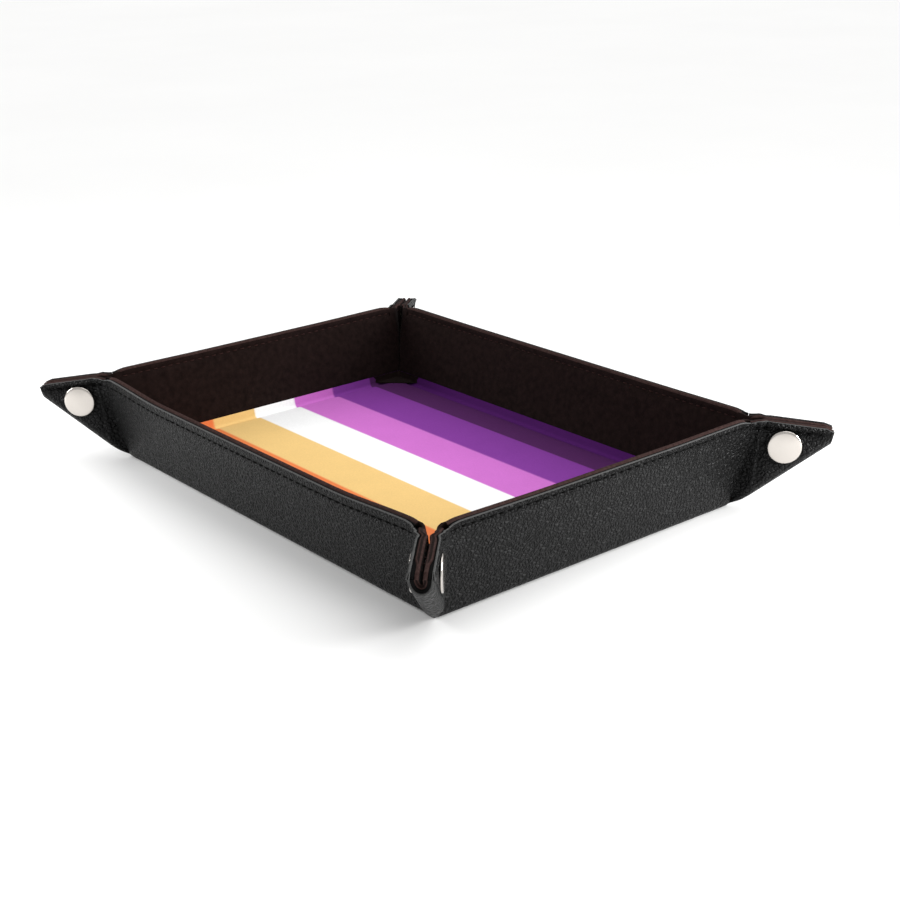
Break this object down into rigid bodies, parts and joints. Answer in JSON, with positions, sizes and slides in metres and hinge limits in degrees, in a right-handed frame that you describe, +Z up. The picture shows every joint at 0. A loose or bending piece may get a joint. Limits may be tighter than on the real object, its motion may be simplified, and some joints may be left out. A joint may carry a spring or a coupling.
{
  "type": "folding dice tray",
  "caption": "Folding dice tray: a padded black leather sheet with walls that fold up and pinched corner ears held shut by press snaps, lined in suede with a striped floor.",
  "frame": {"origin": "centre of the underside of the base, on the surface the tray stands on", "axes": "+X along the long walls towards the right wall, +Y towards the back wall, +Z up"},
  "size_m": [0.255, 0.196, 0.0361],
  "materials": {
    "outer_leather": "black pebble-grained leather, soft sheen",
    "wall_suede": "very dark brown brushed suede cloth",
    "printed_cloth": "smooth brushed cloth printed with broad stripes",
    "stiff_board": "plain grey-brown stiffener board",
    "ear_foam": "thin black foam",
    "nickel_snap": "polished nickel plate"
  },
  "bodies": {
    "base": {"base_leather": "outer_leather", "base_board": "stiff_board", "base_printed_liner": "printed_cloth"},
    "front_wall": {"front_wall_leather": "outer_leather", "front_wall_board": "stiff_board", "front_wall_liner": "wall_suede"},
    "right_wall": {"right_wall_leather": "outer_leather", "right_wall_board": "stiff_board", "right_wall_liner": "wall_suede"},
    "back_wall": {"back_wall_leather": "outer_leather", "back_wall_board": "stiff_board", "back_wall_liner": "wall_suede"},
    "left_wall": {"left_wall_leather": "outer_leather", "left_wall_board": "stiff_board", "left_wall_liner": "wall_suede"},
    "right_wall_front_ear": {"right_wall_front_ear_leather": "outer_leather", "right_wall_front_ear_pad": "ear_foam", "right_wall_front_ear_liner": "wall_suede", "front_right_stud_cap": "nickel_snap", "front_right_snap_stud": "nickel_snap"},
    "front_wall_right_ear": {"front_wall_right_ear_leather": "outer_leather", "front_wall_right_ear_pad": "ear_foam", "front_wall_right_ear_liner": "wall_suede", "front_right_socket_cap": "nickel_snap", "front_right_snap_socket": "nickel_snap"},
    "back_wall_right_ear": {"back_wall_right_ear_leather": "outer_leather", "back_wall_right_ear_pad": "ear_foam", "back_wall_right_ear_liner": "wall_suede", "back_right_stud_cap": "nickel_snap", "back_right_snap_stud": "nickel_snap"},
    "right_wall_back_ear": {"right_wall_back_ear_leather": "outer_leather", "right_wall_back_ear_pad": "ear_foam", "right_wall_back_ear_liner": "wall_suede", "back_right_socket_cap": "nickel_snap", "back_right_snap_socket": "nickel_snap"},
    "left_wall_back_ear": {"left_wall_back_ear_leather": "outer_leather", "left_wall_back_ear_pad": "ear_foam", "left_wall_back_ear_liner": "wall_suede", "back_left_stud_cap": "nickel_snap", "back_left_snap_stud": "nickel_snap"},
    "back_wall_left_ear": {"back_wall_left_ear_leather": "outer_leather", "back_wall_left_ear_pad": "ear_foam", "back_wall_left_ear_liner": "wall_suede", "back_left_socket_cap": "nickel_snap", "back_left_snap_socket": "nickel_snap"},
    "front_wall_left_ear": {"front_wall_left_ear_leather": "outer_leather", "front_wall_left_ear_pad": "ear_foam", "front_wall_left_ear_liner": "wall_suede", "front_left_stud_cap": "nickel_snap", "front_left_snap_stud": "nickel_snap"},
    "left_wall_front_ear": {"left_wall_front_ear_leather": "outer_leather", "left_wall_front_ear_pad": "ear_foam", "left_wall_front_ear_liner": "wall_suede", "front_left_socket_cap": "nickel_snap", "front_left_snap_socket": "nickel_snap"}
  },
  "joints": [
    {"name": "front_wall_fold", "type": "hinge", "parent": "base", "child": "front_wall", "pos_m": [0, -0.0705, 0], "axis": [1, 0, 0], "range_deg": [0, 78]},
    {"name": "right_wall_fold", "type": "hinge", "parent": "base", "child": "right_wall", "pos_m": [0.1, 0, 0], "axis": [0, 1, 0], "range_deg": [0, 78]},
    {"name": "back_wall_fold", "type": "hinge", "parent": "base", "child": "back_wall", "pos_m": [0, 0.0705, 0], "axis": [-1, 0, 0], "range_deg": [0, 78]},
    {"name": "left_wall_fold", "type": "hinge", "parent": "base", "child": "left_wall", "pos_m": [-0.1, 0, 0], "axis": [0, -1, 0], "range_deg": [0, 78]},
    {"name": "right_wall_front_ear_fold", "type": "hinge", "parent": "right_wall", "child": "right_wall_front_ear", "pos_m": [0.1, -0.0705, 0], "axis": [-0.2079, 0, -0.9781], "range_deg": [0, 46]},
    {"name": "front_wall_right_ear_fold", "type": "hinge", "parent": "front_wall", "child": "front_wall_right_ear", "pos_m": [0.1, -0.0705, 0], "axis": [0, -0.2079, 0.9781], "range_deg": [0, 46]},
    {"name": "back_wall_right_ear_fold", "type": "hinge", "parent": "back_wall", "child": "back_wall_right_ear", "pos_m": [0.1, 0.0705, 0], "axis": [0, -0.2079, -0.9781], "range_deg": [0, 46]},
    {"name": "right_wall_back_ear_fold", "type": "hinge", "parent": "right_wall", "child": "right_wall_back_ear", "pos_m": [0.1, 0.0705, 0], "axis": [0.2079, 0, 0.9781], "range_deg": [0, 46]},
    {"name": "left_wall_back_ear_fold", "type": "hinge", "parent": "left_wall", "child": "left_wall_back_ear", "pos_m": [-0.1, 0.0705, 0], "axis": [0.2079, 0, -0.9781], "range_deg": [0, 46]},
    {"name": "back_wall_left_ear_fold", "type": "hinge", "parent": "back_wall", "child": "back_wall_left_ear", "pos_m": [-0.1, 0.0705, 0], "axis": [0, 0.2079, 0.9781], "range_deg": [0, 46]},
    {"name": "front_wall_left_ear_fold", "type": "hinge", "parent": "front_wall", "child": "front_wall_left_ear", "pos_m": [-0.1, -0.0705, 0], "axis": [0, 0.2079, -0.9781], "range_deg": [0, 46]},
    {"name": "left_wall_front_ear_fold", "type": "hinge", "parent": "left_wall", "child": "left_wall_front_ear", "pos_m": [-0.1, -0.0705, 0], "axis": [-0.2079, 0, 0.9781], "range_deg": [0, 46]}
  ],
  "couplings": [
    {"joint": "right_wall_fold", "follows": "front_wall_fold", "ratio": 1},
    {"joint": "back_wall_fold", "follows": "front_wall_fold", "ratio": 1},
    {"joint": "left_wall_fold", "follows": "front_wall_fold", "ratio": 1},
    {"joint": "right_wall_front_ear_fold", "follows": "front_wall_fold", "ratio": 0.5892},
    {"joint": "front_wall_right_ear_fold", "follows": "front_wall_fold", "ratio": 0.5892},
    {"joint": "back_wall_right_ear_fold", "follows": "front_wall_fold", "ratio": 0.5892},
    {"joint": "right_wall_back_ear_fold", "follows": "front_wall_fold", "ratio": 0.5892},
    {"joint": "left_wall_back_ear_fold", "follows": "front_wall_fold", "ratio": 0.5892},
    {"joint": "back_wall_left_ear_fold", "follows": "front_wall_fold", "ratio": 0.5892},
    {"joint": "front_wall_left_ear_fold", "follows": "front_wall_fold", "ratio": 0.5892},
    {"joint": "left_wall_front_ear_fold", "follows": "front_wall_fold", "ratio": 0.5892}
  ]
}
